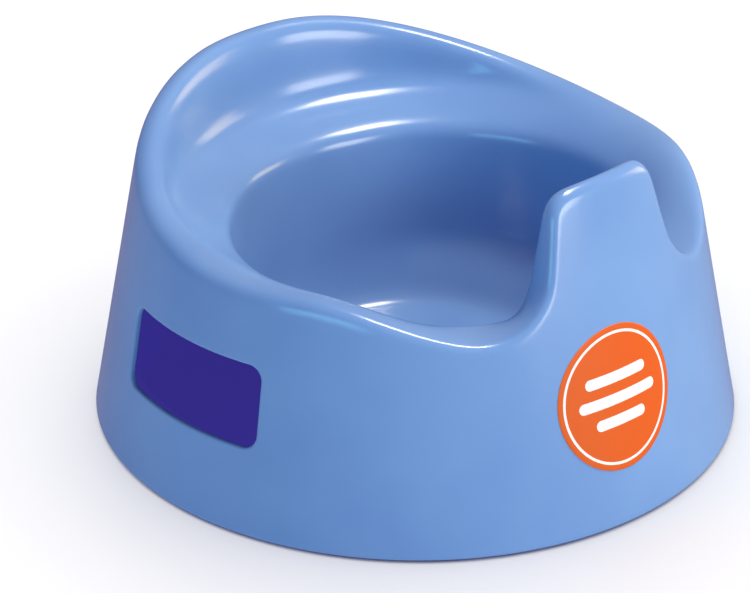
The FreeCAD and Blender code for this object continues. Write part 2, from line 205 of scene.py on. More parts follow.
def stations():
    """Columns of half the shell: angle, height, outward normal in the skirt, base angle."""
    outline = rim_outline()
    corners = [skirt_point(*spot) for spot in outline]
    reached = [0.0]
    for here, there in zip(corners, corners[1:]):
        reached.append(reached[-1] + float(np.linalg.norm(there - here)))
    total = reached[-1]

    def at(distance):
        distance = min(abs(distance), total - 1e-9)
        after = next(i for i, value in enumerate(reached) if value > distance)
        share = (distance - reached[after - 1]) / (reached[after] - reached[after - 1])
        return [mix(outline[after - 1][k], outline[after][k], share) for k in (0, 1)]

    places = [0.0]
    while places[-1] < total:
        growth = ease(places[-1], STEP_GROWS, STEP_GROWN)
        places.append(places[-1] + mix(STEP_FINE, STEP_COARSE, growth))
    stretch = total / places[-1]
    probe = 1.5
    columns = []
    for place in [value * stretch for value in places]:
        angle, height = at(place)
        along, up = 1.0, 0.0
        if probe < place < total - probe:
            before, after = at(place - probe), at(place + probe)
            along = skirt_radius(angle, height) * (after[0] - before[0])
            up = after[1] - before[1]
        size = hypot(along, up)
        base_angle = mix(angle, pi * place / total, COLUMN_SPREAD)
        columns.append((angle, height, -up / size, along / size, base_angle))
    return columns


def edge_radius(angle):
    """Plan radius of the bowl's edge, an ellipse set forward of the base's centre."""
    across, ahead = sin(angle) / BOWL_HALF_WIDTH, cos(angle) / BOWL_HALF_LENGTH
    shift = BOWL_FORWARD / BOWL_HALF_LENGTH
    square = across * across + ahead * ahead
    linear = ahead * shift
    return (linear + sqrt(linear * linear + square * (1.0 - shift * shift))) / square


def edge_height(angle):
    return mix(EDGE_HEIGHT_DIP, EDGE_HEIGHT_BACK, ease(degrees(angle), EDGE_STARTS, EDGE_ENDS))


def dip_left(angle):
    """0 in the leg dips and 1 once past them."""
    return ease(degrees(angle), DIP_STARTS, DIP_ENDS)


def guard_share(angle, height):
    """1 on the splash guard and 0 on the open rim."""
    if degrees(angle) > DIP_STARTS + GUARD_REACH:
        return 0.0
    return ease(height, DIP_HEIGHT + GUARD_TURNS, DIP_HEIGHT + GUARD_TURNED)


SKIRT_SHARES = (0.0, 0.06, 0.20, 0.36, 0.52, 0.68, 0.82, 0.93, 1.0)
BAND_GUARD = (0.20, 0.40, 0.60, 0.80)
BAND_DIP = (0.14, 0.40, 0.62, 0.82)
BAND_SIDE = (0.24, 0.45, 0.64, 0.82)
BAND_BACK = (0.25, 0.295, 0.34, 0.66)
DROP_SIDE = (0.0, 0.10, 0.30, 0.60)
CROWN_GUARD = (0.8, 0.0, 0.0, 0.8)
WALL_SHARES = (0.0, 0.28, 0.55, 0.80, 1.0)
FLOOR_ROWS = ((20.0, 13.0, 3.0), (12.5, 1.2, 0.5), (0.0, 0.0, 0.0), (-16.0, 0.0, 0.0), (-32.0, 0.0, 0.0))


def skirt_rows(angle, height, normal_along, normal_up, base_angle, guard, back):
    """Poles from the base up to the start of the rim's rounding, on a Bezier in the skirt."""
    open_reach = mix(ROUND_DIP, ROUND_SIDE, dip_left(angle))
    reach = mix(mix(open_reach, ROUND_BACK, back), ROUND_GUARD, guard)
    radius = skirt_radius(angle, height)
    top = (angle - normal_along * reach / radius, height - normal_up * reach)
    above_base = (base_angle, FOOT_DROP + BASE_PULL)
    below_top = (top[0], top[1] - TOP_PULL)
    ends = ((base_angle, FOOT_DROP), above_base, below_top, top)
    rows = []
    for share in SKIRT_SHARES:
        rest = 1.0 - share
        weights = (rest ** 3, 3 * rest * rest * share, 3 * rest * share * share, share ** 3)
        rows.append(skirt_point(*[sum(w * end[k] for w, end in zip(weights, ends)) for k in (0, 1)]))
    return rows


def band_rows(angle, height, normal_along, normal_up, guard, back):
    """Poles across the rim's top, from its outer corner to the bowl's edge."""
    radius = skirt_radius(angle, height)
    crown = mix(RIM_EDGE_ROUND, GUARD_EDGE_ROUND, guard)
    rows = [skirt_point(angle - normal_along * crown / radius, height - normal_up * crown)]
    open_edge = edge_height(angle)
    valley = open_edge + VALLEY_RISE
    for k in range(4):
        open_share = mix(BAND_DIP[k], BAND_SIDE[k], dip_left(angle))
        share = mix(mix(open_share, BAND_BACK[k], back), BAND_GUARD[k], guard)
        side_z = mix(height - TOP_SINK_SIDE, open_edge, DROP_SIDE[k])
        back_z = (height - TOP_SINK_BACK, (height + valley) / 2.0 - 1.0, valley, valley - SEAT_FALL)[k]
        open_z = mix(side_z, back_z, back)
        lift = mix(open_z, height - normal_up * CROWN_GUARD[k], guard)
        turn = angle - normal_along * mix(0.0, CROWN_GUARD[k], guard) / radius
        rows.append(polar(mix(skirt_radius(turn, height), edge_radius(turn), share), turn, lift))
    return rows


def bowl_rows(angle, height, normal_along, normal_up, base_angle, guard):
    """Poles of the bowl's edge, wall, fillet and floor."""
    crown = mix(0.0, GUARD_EDGE_ROUND, guard)
    turn = angle - normal_along * crown / skirt_radius(angle, height)
    edge_z = mix(edge_height(angle), height - normal_up * crown, guard)
    rows = [polar(edge_radius(turn), turn, edge_z)]
    floor_turn = mix(base_angle, turn, 0.5)
    wall_top = edge_z - mix(EDGE_ROUND, GUARD_INSIDE_ROUND, guard)
    for share in WALL_SHARES:
        z = mix(wall_top, WALL_FOOT, share)
        here = mix(turn, floor_turn, share)
        rows.append(polar(edge_radius(here) - EDGE_STEP - BOWL_TAPER * max(0.0, TAPER_STARTS - z), here, z))
    for wider, higher, further in FLOOR_ROWS:
        row = polar(FLOOR_RADIUS + wider, floor_turn, FLOOR_HEIGHT + higher)
        rows.append(row - np.array((0.0, FLOOR_FORWARD + further, 0.0)))
    return rows


def column(angle, height, normal_along, normal_up, base_angle):
    guard = guard_share(angle, height)
    back = ease(degrees(angle), SEAT_STARTS, SEAT_ENDS)
    rim = (angle, height, normal_along, normal_up)
    return (skirt_rows(*rim, base_angle, guard, back) + band_rows(*rim, guard, back)
            + bowl_rows(*rim, base_angle, guard))


def top_net():
    """Poles of the whole top skin, [row, column], going round from the front through +X."""
    half = np.array([column(*station) for station in stations()])
    mirrored = half[1:-1][::-1] * np.array((-1.0, 1.0, 1.0))
    return settle(np.concatenate((half, mirrored)).transpose(1, 0, 2))


def settle(rows, rounds=4):
    """Move the skirt's poles until the smooth surface itself, not its net, is the cone."""
    last = len(SKIRT_SHARES) - 1
    for _ in range(rounds):
        smooth = (np.roll(rows, 1, axis=1) + rows * 4.0 + np.roll(rows, -1, axis=1)) / 6.0
        inner = (smooth[:last - 1] + smooth[1:last] * 4.0 + smooth[2:last + 1]) / 6.0
        spots = np.concatenate((smooth[:1], inner, smooth[last:last + 1]))
        moved = rows.copy()
        for v in range(last + 1):
            for i, spot in enumerate(spots[v]):
                miss = skirt_radius(atan2(spot[0], -spot[1]), spot[2]) - hypot(spot[0], spot[1])
                pole = rows[v, i]
                moved[v, i, :2] = pole[:2] * (1.0 + miss / hypot(pole[0], pole[1]))
        rows = moved
    return rows


def under_net(rows):
    """The same net, one wall's thickness inside the material."""
    around = np.roll(rows, -1, axis=1) - np.roll(rows, 1, axis=1)
    steps = unit(rows[1:] - rows[:-1])
    first = np.concatenate((steps[:1], steps))
    second = np.concatenate((steps, steps[-1:]))
    normals = unit(np.cross(around, first + second))
    bend = (1.0 + (first * second).sum(-1, keepdims=True)) / 2.0
    half_turn = np.sqrt(np.maximum(bend, SHARPEST_BEND))
    under = rows - normals * (WALL / half_turn)
    spread = np.linalg.norm(rows[0, :, :2], axis=-1, keepdims=True)
    under[0, :, :2] = rows[0, :, :2] * (spread - WALL) / spread
    under[0, :, 2] = FOOT_DROP
    under[-1, :, 2] = FLOOR_HEIGHT - WALL
    outer = len(SKIRT_SHARES)
    for i, pole in enumerate(rows[outer]):
        guard = guard_share(abs(atan2(pole[0], -pole[1])), pole[2])
        for k, share in enumerate(BAND_GUARD):
            even = mix(under[outer, i], under[outer + 5, i], share)
            under[outer + 1 + k, i] = mix(under[outer + 1 + k, i], even, guard)
    return under


# ================================================================ from nets to meshes

def round_weights(count, per_column):
    """Cubic weights of a closed row of poles, at even steps around it."""
    weights = np.zeros((count * per_column, count))
    for step in range(count * per_column):
        pole, t = divmod(step / per_column, 1.0)
        cubic = ((1 - t) ** 3, 3 * t ** 3 - 6 * t * t + 4, -3 * t ** 3 + 3 * t * t + 3 * t + 1, t ** 3)
        for k, value in enumerate(cubic):
            weights[step, (int(pole) - 1 + k) % count] += value / 6.0
    return weights


def clamped_weights(count, per_row):
    """Cubic weights of an open column of poles that meets its end poles."""
    spans = count - 3
    knots = np.array([0.0] * 3 + list(range(spans + 1)) + [float(spans)] * 3)
    steps = np.linspace(0.0, spans, spans * per_row + 1)
    steps[-1] -= 1e-9
    basis = ((steps[:, None] >= knots[:-1]) & (steps[:, None] < knots[1:])).astype(float)
    for degree in (1, 2, 3):
        grown = np.zeros((len(steps), basis.shape[1] - 1))
        for k in range(grown.shape[1]):
            rise, fall = knots[k + degree] - knots[k], knots[k + degree + 1] - knots[k + 1]
            if rise > 0:
                grown[:, k] += (steps - knots[k]) / rise * basis[:, k]
            if fall > 0:
                grown[:, k] += (knots[k + degree + 1] - steps) / fall * basis[:, k + 1]
        basis = grown
    return basis


def smooth_skin(net):
    """The smooth surface that a net shapes, as a grid of points [row, column]."""
    along = clamped_weights(net.shape[0], ALONG_PER_ROW)
    around = round_weights(net.shape[1], AROUND_PER_COLUMN)
    return np.einsum("vr,uc,rcx->vux", along, around, net)


class Build:
    """Gathers points and faces of one mesh."""

    def __init__(self):
        self.points, self.faces, self.slots = [], [], []

    def add(self, points):
        start = len(self.points)
        self.points.extend(tuple(p) for p in np.asarray(points).reshape(-1, 3))
        return list(range(start, len(self.points)))

    def face(self, corners, slot=0):
        self.faces.append(corners)
        self.slots.append(slot)

    def bridge(self, first, second, flip=False, slot=0):
        """Faces between two closed loops; the second has as many points, or twice as many."""
        count = len(first)
        twice = len(second) == 2 * count
        for i in range(count):
            a, b = first[i], first[(i + 1) % count]
            if twice:
                c, m, d = second[2 * i], second[2 * i + 1], second[(2 * i + 2) % len(second)]
                around = [(a, m, c), (a, b, m), (b, d, m)]
            else:
                around = [(a, b, second[(i + 1) % count], second[i])]
            for corners in around:
                self.face(corners[::-1] if flip else corners, slot)

    def fan(self, loop, centre, flip=False, slot=0):
        middle = self.add([centre])[0]
        for i, a in enumerate(loop):
            corners = (a, loop[(i + 1) % len(loop)], middle)
            self.face(corners[::-1] if flip else corners, slot)

    def finish(self, name, materials, uv=None):
        mesh = bpy.data.meshes.new(name)
        mesh.from_pydata([tuple(c * MM for c in p) for p in self.points], [], self.faces)
        mesh.polygons.foreach_set("material_index", self.slots)
        mesh.polygons.foreach_set("use_smooth", [True] * len(self.faces))
        if uv is not None:
            layer = mesh.uv_layers.new(name="face")
            for loop in mesh.loops:
                layer.data[loop.index].uv = uv[loop.vertex_index]
        for material in materials:
            mesh.materials.append(material)
        mesh.validate()
        mesh.update()
        piece = bpy.data.objects.new(name, mesh)
        bpy.context.collection.objects.link(piece)
        return piece


def window_outline(directions):
    """Points of the rounded window (y, height) and their outward normals, by direction."""
    lean = WINDOW_LEAN * (WINDOW_HIGH - WINDOW_LOW)
    corners = [(-WINDOW_FRONT, WINDOW_LOW), (WINDOW_BACK, WINDOW_LOW),
               (WINDOW_BACK - lean, WINDOW_HIGH), (-WINDOW_FRONT + lean, WINDOW_HIGH)]
    arcs = []
    for i, corner in enumerate(corners):
        arcs.extend(fillet_points(corners[i - 1], corner, corners[(i + 1) % 4], WINDOW_ROUND, 24))
    arcs = np.array(arcs)
    filled = []
    for here, there in zip(arcs, np.roll(arcs, -1, axis=0)):
        steps = max(1, int(np.linalg.norm(there - here) / WINDOW_SPACING))
        filled.extend(here + (there - here) * k / steps for k in range(steps))
    filled = np.array(filled)
    tangent = np.roll(filled, -1, axis=0) - np.roll(filled, 1, axis=0)
    normal = unit(np.stack((tangent[:, 1], -tangent[:, 0]), axis=-1))
    turn = np.arctan2(filled[:, 1] - window_centre()[1], filled[:, 0] - window_centre()[0])
    order = np.argsort(turn)
    values = [np.interp(directions, turn[order], known[order], period=2 * pi)
              for known in (filled[:, 0], filled[:, 1], normal[:, 0], normal[:, 1])]
    return np.stack(values[:2], axis=-1), unit(np.stack(values[2:], axis=-1))


def window_centre():
    return (WINDOW_BACK - WINDOW_FRONT) / 2.0, (WINDOW_LOW + WINDOW_HIGH) / 2.0


def on_side(y, height, depth=0.0):
    """The point of the skirt's right side with this y and height, this deep in the wall."""
    angle = pi / 2.0 + asin(y / skirt_radius(pi / 2.0, height))
    for _ in range(5):
        angle = pi / 2.0 + asin(y / skirt_radius(angle, height))
    return skirt_point(angle, height, depth)


def window_block(skin):
    """Rows and columns of the smallest patch of the right side that holds the window."""
    margin = WINDOW_MARGIN
    skirt_rows_end = ALONG_PER_ROW * (len(SKIRT_SHARES) - 1)
    y, z = skin[:skirt_rows_end, :, 1], skin[:skirt_rows_end, :, 2]
    level = (z > WINDOW_LOW - margin) & (z < WINDOW_HIGH + margin)
    half = range(10, skin.shape[1] // 2 - 10)
    first = max(u for u in half if y[level[:, u], u].max() < -WINDOW_FRONT - margin)
    last = min(u for u in half if y[level[:, u], u].min() > WINDOW_BACK + margin)
    patch = z[:, first:last + 1]
    low = max(v for v in range(skirt_rows_end) if patch[v].max() < WINDOW_LOW - margin)
    high = min(v for v in range(low, skirt_rows_end) if patch[v].min() > WINDOW_HIGH + margin)
    return low, high, first, last


def block_loop(block):
    """The patch's border as (row, column), running from low front to low back and round."""
    low, high, first, last = block
    loop = [(low, u) for u in range(first, last)] + [(v, last) for v in range(low, high)]
    loop += [(high, u) for u in range(last, first, -1)] + [(v, first) for v in range(high, low, -1)]
    return loop


def twice_as_many(points):
    """The loop with the middle of each of its sides put in."""
    middles = (points + np.roll(points, -1, axis=0)) / 2.0
    return np.stack((points, middles), axis=1).reshape(-1, points.shape[1])


def window_rings(border):
    """Rings of points from the patch's border over the window's edge and back inside.

    Each ring is (y, height, depth) for every point; border holds the outside's (y, height).
    """
    flat = twice_as_many(twice_as_many(border))
    centre = np.array(window_centre())
    turns = np.arctan2(flat[:, 1] - centre[1], flat[:, 0] - centre[0])
    edge, normal = window_outline(turns)

    def ring(out, depth):
        return np.concatenate((edge + normal * out, np.full((len(edge), 1), depth)), axis=1)

    def between(share, depth):
        start = edge + normal * 2.0
        return np.concatenate((mix(start, flat, share), np.full((len(edge), 1), depth)), axis=1)

    outside = [between(0.7, 0.0), between(0.4, 0.0), between(0.12, 0.0),
               ring(WINDOW_OUTER_EDGE * 1.35, 0.0)]
    round_out = [ring(WINDOW_OUTER_EDGE * (1 - sin(t)), WINDOW_OUTER_EDGE * (1 - cos(t)))
                 for t in np.radians((0.0, 18.0, 36.0, 54.0, 72.0, 90.0))]
    round_in = [ring(WINDOW_INNER_EDGE * (1 - cos(t)), WALL - WINDOW_INNER_EDGE * (1 - sin(t)))
                for t in np.radians((0.0, 30.0, 60.0, 90.0))]
    inside = [ring(WINDOW_INNER_EDGE * 1.5, WALL), between(0.12, WALL), between(0.5, WALL)]
    return outside + round_out + round_in + inside


def cut_window(build, outer, outer_ids, inner_ids, block, side):
    """Fill the patch around one window; side is 1 on the right and -1 on the left."""
    loop = block_loop(block)
    border = np.array([outer[v, u, 1:3] for v, u in loop])
    rings = window_rings(border)
    if side < 0:
        count = outer.shape[1]
        loop = [(v, (count - u) % count) for v, u in loop]
    flip = side < 0
    mirror = np.array((side, 1.0, 1.0))
    placed = []
    for k, ring in enumerate(rings):
        if k in (0, len(rings) - 1):
            ring = ring[::2]
        placed.append(build.add([on_side(*spot) * mirror for spot in ring]))
    outer_loop = [outer_ids[v][u] for v, u in loop]
    inner_loop = [inner_ids[v][u] for v, u in loop]
    build.bridge(outer_loop, placed[0], flip)
    for first, second in zip(placed, placed[1:]):
        if len(first) > len(second):
            build.bridge(second, first, not flip)
        else:
            build.bridge(first, second, flip)
    build.bridge(inner_loop, placed[-1], not flip)


def lathe(build, profile, centre, count=40):
    """Turn a profile of (radius, height) about a vertical axis; ends on the axis close it."""
    turns = [2.0 * pi * i / count for i in range(count)]
    rings = []
    for radius, height in profile:
        if radius == 0.0:
            rings.append(None)
            continue
        rings.append(build.add([(centre[0] + radius * cos(t), centre[1] + radius * sin(t), height)
                                for t in turns]))
    for k in range(len(profile) - 1):
        if rings[k] is None:
            build.fan(rings[k + 1], (centre[0], centre[1], profile[k][1]), True)
        elif rings[k + 1] is None:
            build.fan(rings[k], (centre[0], centre[1], profile[k + 1][1]))
        else:
            build.bridge(rings[k], rings[k + 1])


def foot_place(turn):
    """Centre of a foot and its boss, on the floor."""
    angle = radians(turn)
    outside = skirt_radius(angle, FOOT_DROP + BOSS_HEIGHT)
    return polar(outside - BOSS_SKIN - BOSS_RADIUS, angle, 0.0)


def mould_shell(plastic):
    """The whole moulding: both skins, the skirt's lip, the windows and the foot bosses."""
    net = top_net()
    outer, inner = smooth_skin(net), smooth_skin(under_net(net))
    rows, count = outer.shape[:2]
    build = Build()
    start_rows = next(v for v in range(rows) if outer[v, 0, 2] > FOOT_DROP + LIP_ROUND * 1.5)
    outer_ids = {v: build.add(outer[v]) for v in range(start_rows, rows)}
    inner_ids = {v: build.add(inner[v]) for v in range(start_rows, rows)}
    block = window_block(outer)
    low, high, first, last = block
    for v in range(start_rows, rows - 1):
        for u in range(count):
            mirrored = count - 1 - u
            if low <= v < high and (first <= u < last or first <= mirrored < last):
                continue
            w = (u + 1) % count
            build.face((outer_ids[v][u], outer_ids[v][w], outer_ids[v + 1][w], outer_ids[v + 1][u]))
            build.face((inner_ids[v][u], inner_ids[v + 1][u], inner_ids[v + 1][w], inner_ids[v][w]))
    for side in (1, -1):
        cut_window(build, outer, outer_ids, inner_ids, block, side)
    round_lip(build, outer, outer_ids[start_rows], inner_ids[start_rows])
    build.fan(outer_ids[rows - 1], (0.0, -FLOOR_FORWARD, FLOOR_HEIGHT))
    build.fan(inner_ids[rows - 1], (0.0, -FLOOR_FORWARD, FLOOR_HEIGHT - WALL), True)
    for turn in FOOT_ANGLES.values():
        mould_boss(build, foot_place(turn))
    return build.finish("shell_moulding", [plastic])


def round_lip(build, outer, outer_loop, inner_loop):
    """The skirt's bottom edge, rounded inside and out."""
    turns = [atan2(p[0], -p[1]) for p in outer[0]]
    loops = [outer_loop]
    quarter = np.radians((0.0, 22.5, 45.0, 67.5, 90.0))
    arc = [(LIP_ROUND * (1 - sin(t)), LIP_ROUND * (1 - cos(t))) for t in quarter]
    arc += [(up, WALL - back) for up, back in arc[::-1]]
    for up, back in arc:
        height = FOOT_DROP + up
        loops.append(build.add([polar(skirt_radius(a, height) - back, a, height) for a in turns]))
    loops.append(inner_loop)
    for first, second in zip(loops, loops[1:]):
        build.bridge(first, second, True)


def mould_boss(build, place):
    """A hollow post inside the skirt that takes a foot's stem."""
    hole = FOOT_STEM_RADIUS + FOOT_CLEARANCE
    bottom, top = FOOT_DROP, FOOT_DROP + BOSS_HEIGHT
    roof = bottom + FOOT_STEM_LENGTH + HOLE_EXTRA_DEPTH
    profile = [(0.0, roof), (hole, roof), (hole, bottom + HOLE_CHAMFER), (hole + HOLE_CHAMFER, bottom),
               (BOSS_RADIUS - BOSS_CHAMFER, bottom), (BOSS_RADIUS, bottom + BOSS_CHAMFER),
               (BOSS_RADIUS, top - BOSS_CHAMFER), (BOSS_RADIUS - BOSS_CHAMFER, top), (0.0, top)]
    lathe(build, profile, place)


def press_foot(name, turn, rubber):
    """A soft button with two grip rings under it and a stem with a bevelled end."""
    groove = FOOT_GROOVE_DEPTH
    profile = [(0.0, 0.25), (1.2, 0.25), (1.5, 0.0), (2.3, 0.0), (2.6, groove), (3.4, groove), (3.7, 0.0),
               (5.3, 0.0), (5.9, 0.12), (6.3, 0.4), (FOOT_HEAD_RADIUS, 0.8), (FOOT_HEAD_RADIUS, 1.2),
               (6.35, FOOT_DROP), (FOOT_STEM_RADIUS, FOOT_DROP), (FOOT_STEM_RADIUS, 7.2),
               (FOOT_STEM_RADIUS - 0.6, FOOT_DROP + FOOT_STEM_LENGTH),
               (0.0, FOOT_DROP + FOOT_STEM_LENGTH)]
    build = Build()
    lathe(build, profile, foot_place(turn), FOOT_SIDES)
    return build.finish(name, [rubber])


def cut_sticker(printed, paper):
    """A round sheet that wraps the skirt, with its own flat map from -1 to 1."""
    middle = radians(LABEL_ANGLE)
    slope = slope_at(middle)
    stretch = sqrt(1.0 + slope * slope)
    centre_radius = skirt_radius(middle, LABEL_HEIGHT)
    top = LABEL_GLUE + LABEL_THICK
    soft = LABEL_EDGE_ROUND
    build, spots = Build(), []

    def ring(radius, lift):
        points = []
        for i in range(LABEL_SIDES):
            turn = 2.0 * pi * i / LABEL_SIDES
            x, y = radius * cos(turn), radius * sin(turn)
            height = LABEL_HEIGHT + y / stretch
            angle = middle + x / skirt_radius(middle, height)
            points.append(skirt_point(angle, height, -lift))
            spots.append((x / LABEL_RADIUS, y / LABEL_RADIUS))
        return build.add(points)

    radii = [LABEL_RADIUS * (k / LABEL_RINGS) ** 0.8 for k in range(1, LABEL_RINGS)]
    face = [ring(radius, top) for radius in radii]
    face.append(ring(LABEL_RADIUS - soft * 2.0, top))
    face.append(ring(LABEL_RADIUS - soft * 0.6, top - soft * 0.25))
    edge = [face[-1], ring(LABEL_RADIUS, top - soft), ring(LABEL_RADIUS, LABEL_GLUE)]
    back = [edge[-1]] + [ring(radius, LABEL_GLUE) for radius in (LABEL_RADIUS * 0.75, LABEL_RADIUS * 0.4)]
    for loops, slot in ((face, 0), (edge, 1), (back, 1)):
        for first, second in zip(loops, loops[1:]):
            build.bridge(first, second, True, slot)
    spots.append((0.0, 0.0))
    build.fan(face[0], polar(centre_radius + top, middle, LABEL_HEIGHT))
    spots.append((0.0, 0.0))
    build.fan(back[-1], polar(centre_radius + LABEL_GLUE, middle, LABEL_HEIGHT), True, 1)
    return build.finish("front_sticker", [printed, paper], spots)


# ================================================================ materials

def new_material(name):
    material = bpy.data.materials.new(name)
    material.use_nodes = True
    nodes = material.node_tree.nodes
    nodes.clear()
    shader = nodes.new("ShaderNodeBsdfPrincipled")
    output = nodes.new("ShaderNodeOutputMaterial")
    material.node_tree.links.new(shader.outputs["BSDF"], output.inputs["Surface"])
    return material, Wiring(material.node_tree), shader


class Wiring:
    """Short names for the few node set-ups the materials share."""

    def __init__(self, tree):
        self.tree = tree

    def link(self, source, target):
        self.tree.links.new(source, target)

    def place(self):
        return self.tree.nodes.new("ShaderNodeTexCoord").outputs["Object"]

    def flat_map(self):
        node = self.tree.nodes.new("ShaderNodeUVMap")
        node.uv_map = "face"
        return node.outputs["UV"]

    def noise(self, place, size, detail=3.0, roughness=0.5, stretch=None):
        """Smooth noise; size is the width of its blotches in millimetres."""
        if stretch:
            mapping = self.tree.nodes.new("ShaderNodeMapping")
            mapping.inputs["Scale"].default_value = stretch
            self.link(place, mapping.inputs["Vector"])
            place = mapping.outputs["Vector"]
        node = self.tree.nodes.new("ShaderNodeTexNoise")
        node.inputs["Scale"].default_value = 1.0 / (size * MM)
        node.inputs["Detail"].default_value = detail
        node.inputs["Roughness"].default_value = roughness
        self.link(place, node.inputs["Vector"])
        return node.outputs["Fac"]

    def remap(self, value, from_low, from_high, to_low, to_high):
        node = self.tree.nodes.new("ShaderNodeMapRange")
        for name, number in (("From Min", from_low), ("From Max", from_high),
                             ("To Min", to_low), ("To Max", to_high)):
            node.inputs[name].default_value = number
        self.link(value, node.inputs["Value"])
        return node.outputs["Result"]

    def maths(self, kind, first, second=None):
        node = self.tree.nodes.new("ShaderNodeMath")
        node.operation = kind
        for socket, value in zip(node.inputs, (first, second)):
            if value is None:
                continue
            if isinstance(value, (int, float)):
                socket.default_value = value
            else:
                self.link(value, socket)
        return node.outputs["Value"]

    def length(self, first, second):
        squares = [self.maths("MULTIPLY", side, side) for side in (first, second)]
        return self.maths("SQRT", self.maths("ADD", *squares))

    def blend(self, share, first, second):
        node = self.tree.nodes.new("ShaderNodeMix")
        node.data_type = "RGBA"
        self.link(share, node.inputs[0])
        for socket, value in ((node.inputs[6], first), (node.inputs[7], second)):
            if isinstance(value, tuple):
                socket.default_value = value
            else:
                self.link(value, socket)
        return node.outputs[2]

    def bump(self, height, depth, strength=1.0, normal=None):
        """Raise the surface by a height of 0 to 1 over this depth in millimetres."""
        node = self.tree.nodes.new("ShaderNodeBump")
        node.inputs["Strength"].default_value = strength
        node.inputs["Distance"].default_value = depth * MM
        self.link(height, node.inputs["Height"])
        if normal is not None:
            self.link(normal, node.inputs["Normal"])
        return node.outputs["Normal"]


PLASTIC_BLUE = (0.150, 0.295, 0.580, 1.0)
PLASTIC_BLUE_PALE = (0.170, 0.325, 0.610, 1.0)
PLASTIC_ROUGHNESS = 0.17
STICKER_ORANGE = (0.62, 0.094, 0.004, 1.0)
STICKER_ORANGE_WORN = (0.68, 0.12, 0.010, 1.0)
STICKER_WHITE = (0.86, 0.86, 0.84, 1.0)
PAPER_ORANGE = (0.80, 0.16, 0.02, 1.0)
PAPER_ORANGE_PALE = (0.88, 0.30, 0.12, 1.0)
RUBBER_GREY = (0.42, 0.44, 0.46, 1.0)
RUBBER_GREY_PALE = (0.47, 0.49, 0.50, 1.0)

# The sticker's print, in shares of its radius.  A bar is (height, half length, half width).
RING_AT, RING_HALF_WIDTH = 0.90, 0.018
BARS = ((0.30, 0.46, 0.075), (0.0, 0.60, 0.075), (-0.30, 0.36, 0.075))
PRINT_EDGE, PRINT_RAGGED = 0.004, 0.002


def glossy_blue_plastic():
    """Polypropylene out of a polished mould: even blue, faint orange peel and fine scuffs."""
    material, wire, shader = new_material("glossy blue plastic")
    place = wire.place()
    flow = wire.noise(place, 60.0, 2.0)
    tone = wire.remap(flow, 0.35, 0.65, 0.0, 1.0)
    wire.link(wire.blend(tone, PLASTIC_BLUE, PLASTIC_BLUE_PALE), shader.inputs["Base Color"])
    scuffs = wire.noise(place, 3.0, 4.0, 0.6, (1.0, 1.0, 9.0))
    fine = wire.noise(place, 0.9, 3.0, 0.6)
    scuffed = wire.remap(scuffs, 0.45, 0.75, 0.0, 0.05)
    dull = wire.maths("ADD", scuffed, wire.remap(fine, 0.3, 0.7, 0.0, 0.03))
    wire.link(wire.maths("ADD", dull, PLASTIC_ROUGHNESS), shader.inputs["Roughness"])
    peel = wire.noise(place, 3.2, 1.0)
    waves = wire.noise(place, 26.0, 1.0)
    rough = wire.bump(wire.maths("ADD", peel, wire.maths("MULTIPLY", fine, 0.12)), 0.012)
    wire.link(wire.bump(waves, 0.05, 1.0, rough), shader.inputs["Normal"])
    shader.inputs["IOR"].default_value = 1.49
    shader.inputs["Subsurface Weight"].default_value = 0.10
    shader.inputs["Subsurface Radius"].default_value = (0.5, 0.5, 1.0)
    shader.inputs["Subsurface Scale"].default_value = 2.0 * MM
    return material


def printed_film():
    """The sticker's face: orange film with a white ring and three bars printed on it."""
    material, wire, shader = new_material("printed orange film")
    face = wire.flat_map()
    split = wire.tree.nodes.new("ShaderNodeSeparateXYZ")
    wire.link(face, split.inputs["Vector"])
    x, y = split.outputs["X"], split.outputs["Y"]
    off_ring = wire.maths("ABSOLUTE", wire.maths("SUBTRACT", wire.length(x, y), RING_AT))
    print_on = wire.maths("SUBTRACT", RING_HALF_WIDTH, off_ring)
    for middle, half_length, half_width in BARS:
        past_end = wire.maths("SUBTRACT", wire.maths("ABSOLUTE", x), half_length)
        across = wire.maths("MAXIMUM", past_end, 0.0)
        reach = wire.length(across, wire.maths("SUBTRACT", y, middle))
        print_on = wire.maths("MAXIMUM", print_on, wire.maths("SUBTRACT", half_width, reach))
    grain = wire.noise(wire.place(), 0.5, 3.0)
    edge = wire.maths("ADD", print_on, wire.remap(grain, 0.3, 0.7, -PRINT_RAGGED, PRINT_RAGGED))
    ink = wire.remap(edge, -PRINT_EDGE, PRINT_EDGE, 0.0, 1.0)
    orange = wire.blend(wire.remap(grain, 0.3, 0.7, 0.0, 0.15), STICKER_ORANGE, STICKER_ORANGE_WORN)
    wire.link(wire.blend(ink, orange, STICKER_WHITE), shader.inputs["Base Color"])
    wire.link(wire.remap(grain, 0.3, 0.7, 0.33, 0.43), shader.inputs["Roughness"])
    shader.inputs["Specular IOR Level"].default_value = 0.2
    wire.link(wire.bump(wire.noise(wire.place(), 5.0, 2.0), 0.03), shader.inputs["Normal"])
    return material


def sticker_paper():
    """The cut edge and glued back of the sticker."""
    material, wire, shader = new_material("cut edge of the film")
    grain = wire.noise(wire.place(), 0.6, 4.0)
    wire.link(wire.blend(grain, PAPER_ORANGE, PAPER_ORANGE_PALE), shader.inputs["Base Color"])
    wire.link(wire.remap(grain, 0.3, 0.7, 0.55, 0.70), shader.inputs["Roughness"])
    return material


